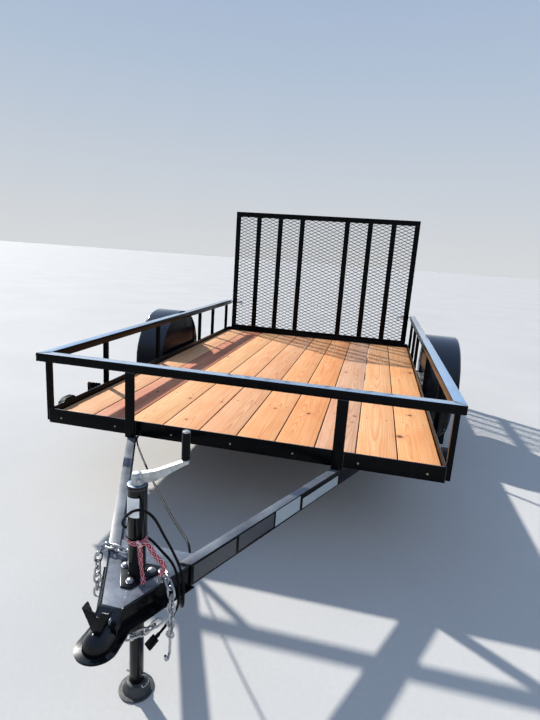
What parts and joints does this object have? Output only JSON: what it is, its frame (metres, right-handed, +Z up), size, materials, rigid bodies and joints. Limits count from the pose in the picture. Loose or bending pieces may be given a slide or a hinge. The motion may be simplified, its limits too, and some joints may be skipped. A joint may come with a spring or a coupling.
{
  "type": "utility trailer",
  "caption": "Single-axle utility trailer with plank deck, tube side rails, A-shaped drawbar with screw jack and a mesh ramp gate.",
  "frame": {"origin": "on the ground in the middle of the outline", "axes": "+Y along the trailer from drawbar to tailgate, +Z up, +X towards the trailer's left side"},
  "size_m": [2.492, 4.3269, 1.735],
  "materials": {
    "black_paint": "gloss black enamel, a little dusty",
    "bare_steel": "zinc plated, dull",
    "boards": "sawn softwood planks, planed, unpainted",
    "tyre_rubber": "matt black rubber",
    "black_plastic": "moulded grip",
    "lead_sheath": "matt black sheath",
    "ribbon_cloth": "woven ribbon, crimson with a pale lattice",
    "amber_lens": "ribbed lens in a black case",
    "red_lens": "ribbed lens"
  },
  "bodies": {
    "chassis": {"frame_ends": "black_paint", "frame_sides": "black_paint", "crossmembers": "black_paint", "drawbar_arms": "black_paint", "coupler": "black_paint", "coupler_latch": "black_paint", "jack_tube": "black_paint", "posts_front": "black_paint", "posts_side": "black_paint", "rail_front": "black_paint", "rails_side": "black_paint", "fender_left": "black_paint", "fender_right": "black_paint", "axle": "black_paint", "leaf_springs": "black_paint", "spring_hangers": "black_paint", "gate_knuckles": "black_paint", "latch_keepers": "black_paint", "rope_hooks": "black_paint", "tail_lamp_boxes": "black_paint", "plate_holder": "black_paint", "jack_crank": "bare_steel", "spring_clamps": "bare_steel", "safety_chains": "bare_steel", "chain_hook": "bare_steel", "wiring_lead": "lead_sheath", "lead_plug": "lead_sheath", "tie_ribbon": "ribbon_cloth", "deck_boards": "boards", "jack_grip": "black_plastic", "marker_lamps_front": "amber_lens", "tail_lamps": "red_lens"},
    "wheel_left": {"tyre_left": "tyre_rubber", "rim_left": "black_paint", "hub_left": "black_paint"},
    "wheel_right": {"tyre_right": "tyre_rubber", "rim_right": "black_paint", "hub_right": "black_paint"},
    "tailgate": {"gate_frame": "black_paint", "gate_bars": "black_paint", "gate_mesh": "black_paint", "gate_hinge_pins": "bare_steel", "gate_latches": "bare_steel"},
    "jack_leg_body": {"jack_leg": "black_paint", "jack_foot": "bare_steel"}
  },
  "joints": [
    {"name": "wheel_left_spin", "type": "hinge", "parent": "chassis", "child": "wheel_left", "pos_m": [1.132, 0.8365, 0.343], "axis": [1, 0, 0], "continuous": true},
    {"name": "wheel_right_spin", "type": "hinge", "parent": "chassis", "child": "wheel_right", "pos_m": [-1.132, 0.8365, 0.343], "axis": [1, 0, 0], "continuous": true},
    {"name": "tailgate_hinge", "type": "hinge", "parent": "chassis", "child": "tailgate", "pos_m": [0, 2.1345, 0.453], "axis": [-1, 0, 0], "range_deg": [0, 109]},
    {"name": "jack_leg_slide", "type": "slide", "parent": "chassis", "child": "jack_leg_body", "axis": [0, 0, 1], "range_m": [0, 0.24]}
  ]
}
